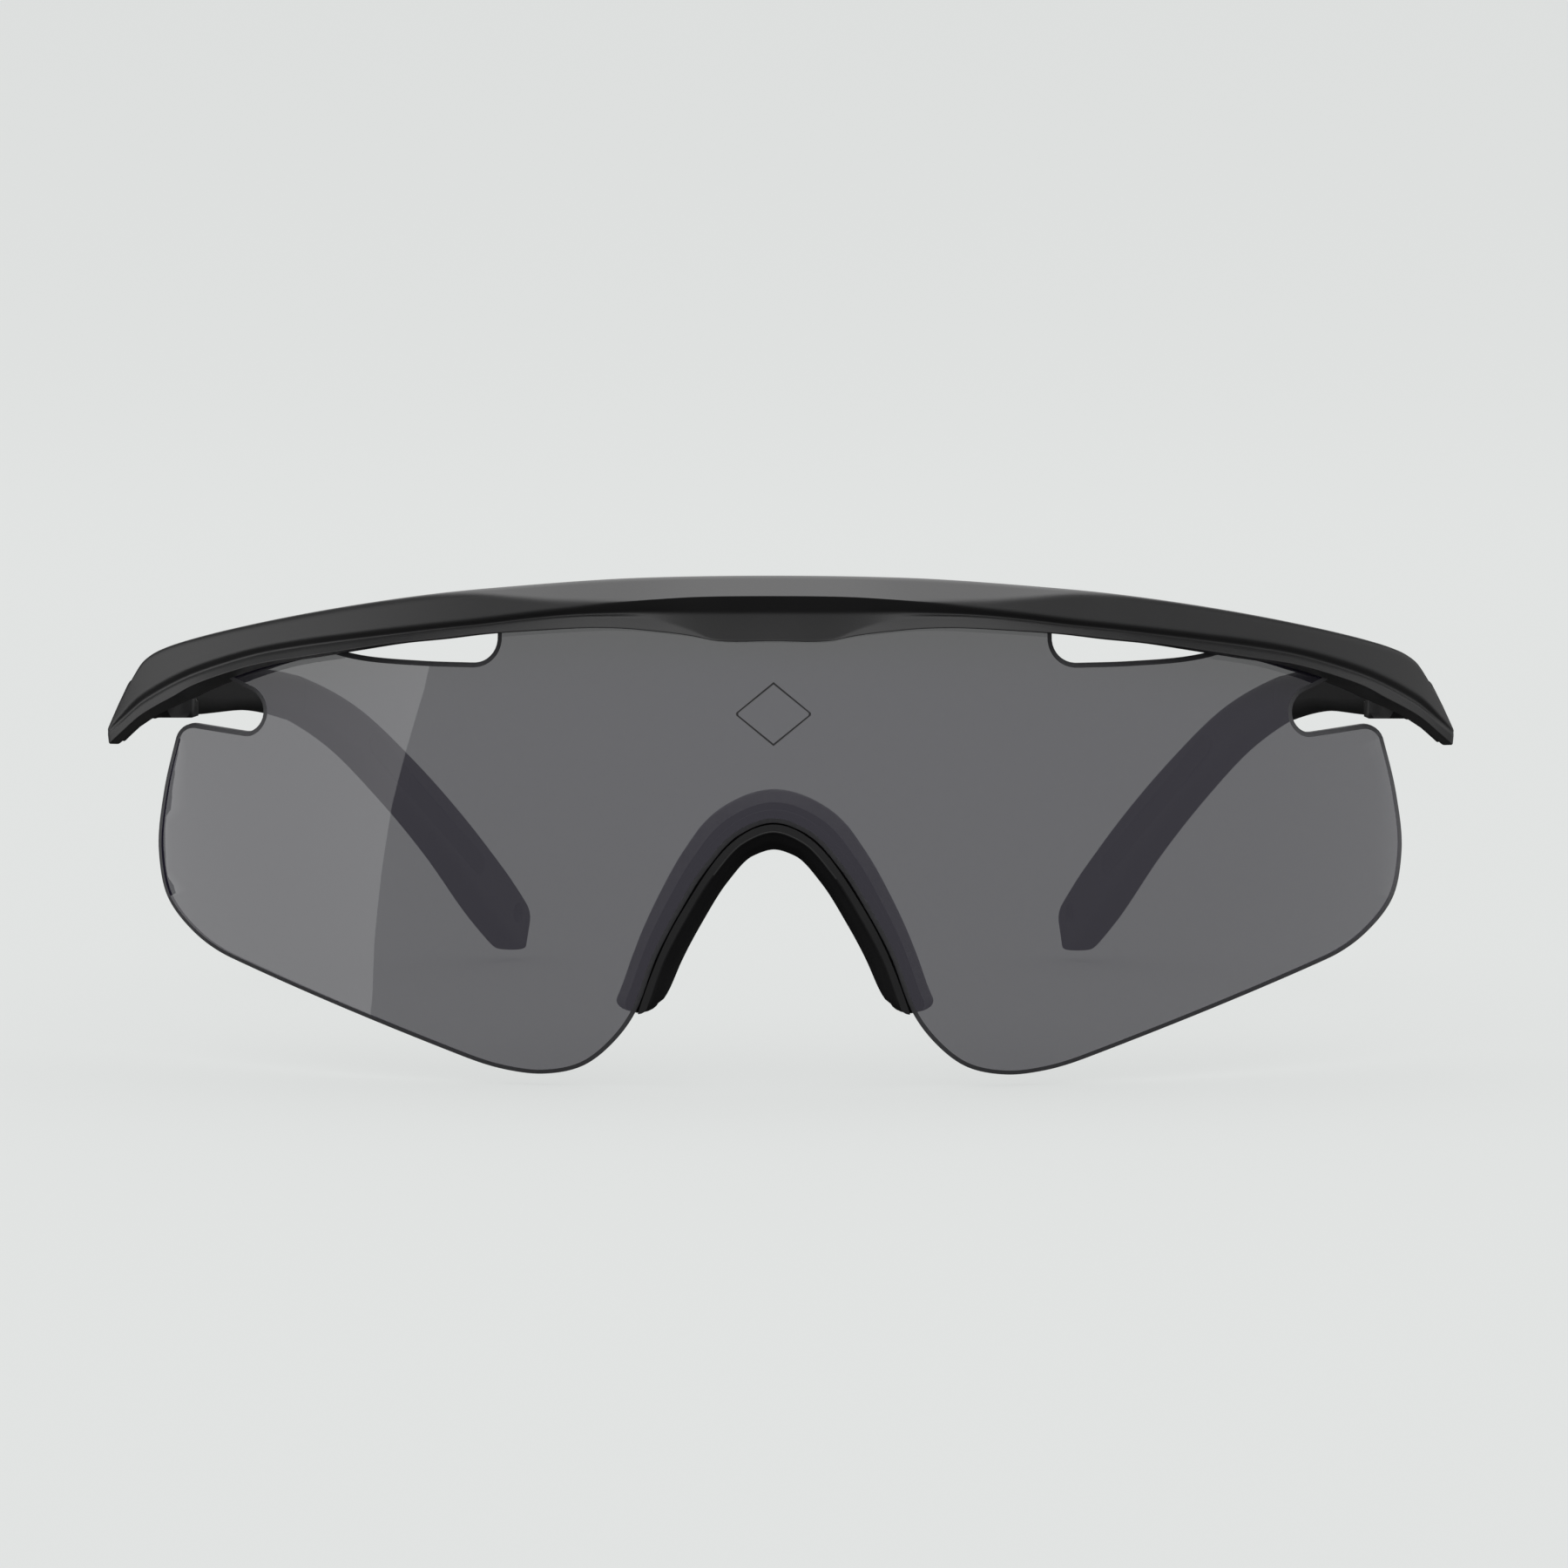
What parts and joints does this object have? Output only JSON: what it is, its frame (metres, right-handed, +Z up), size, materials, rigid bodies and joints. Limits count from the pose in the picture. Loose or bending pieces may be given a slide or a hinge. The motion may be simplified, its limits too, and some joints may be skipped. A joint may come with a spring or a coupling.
{
  "type": "wraparound sport sunglasses",
  "caption": "Wraparound sport sunglasses: smoke shield lens hung from a black brow bar, rubber nose saddle, hooked folding temples.",
  "frame": {"origin": "on the floor plane under the middle of the glasses, half way between the bar's foremost point and the temple tips", "axes": "+X across the face towards the wearer's left temple, +Y from the lens back along the temples, +Z up, standing on the two lens lobes and the two temple tips"},
  "size_m": [0.1448, 0.1504, 0.0507],
  "materials": {
    "bar_plastic": "satin moulded black nylon",
    "temple_plastic": "satin moulded black nylon",
    "carrier_plastic": "satin black",
    "smoke_lens": "smoke grey tinted polycarbonate, hard coated, polished",
    "pad_rubber": "soft matt black",
    "grip_rubber": "soft matt black inlay",
    "core_metal": "annealed wire and strip",
    "hinge_steel": "turned stainless steel",
    "hinge_brass": "turned brass",
    "washer_nylon": "natural nylon"
  },
  "bodies": {
    "front": {"brow_bar": "bar_plastic", "lens_shield": "smoke_lens", "nose_carrier": "carrier_plastic", "nose_pad": "pad_rubber", "nose_core_strip": "core_metal", "hinge_screw_left": "hinge_steel", "hinge_slip_washers_left": "washer_nylon", "hinge_spring_washer_left": "hinge_steel", "hinge_threaded_insert_left": "hinge_brass", "hinge_screw_right": "hinge_steel", "hinge_slip_washers_right": "washer_nylon", "hinge_spring_washer_right": "hinge_steel", "hinge_threaded_insert_right": "hinge_brass"},
    "temple_left": {"temple_arm_left": "temple_plastic", "temple_hook_left": "temple_plastic", "temple_tip_left": "temple_plastic", "temple_grip_left": "grip_rubber", "temple_core_wire_left": "core_metal", "hinge_sleeve_left": "hinge_brass"},
    "temple_right": {"temple_arm_right": "temple_plastic", "temple_hook_right": "temple_plastic", "temple_tip_right": "temple_plastic", "temple_grip_right": "grip_rubber", "temple_core_wire_right": "core_metal", "hinge_sleeve_right": "hinge_brass"}
  },
  "joints": [
    {"name": "temple_left_fold", "type": "hinge", "parent": "front", "child": "temple_left", "pos_m": [0.0648, -0.0335, 0.03785], "axis": [0, 0, 1], "range_deg": [0, 84]},
    {"name": "temple_right_fold", "type": "hinge", "parent": "front", "child": "temple_right", "pos_m": [-0.0648, -0.0335, 0.03785], "axis": [0, 0, -1], "range_deg": [0, 76]}
  ]
}
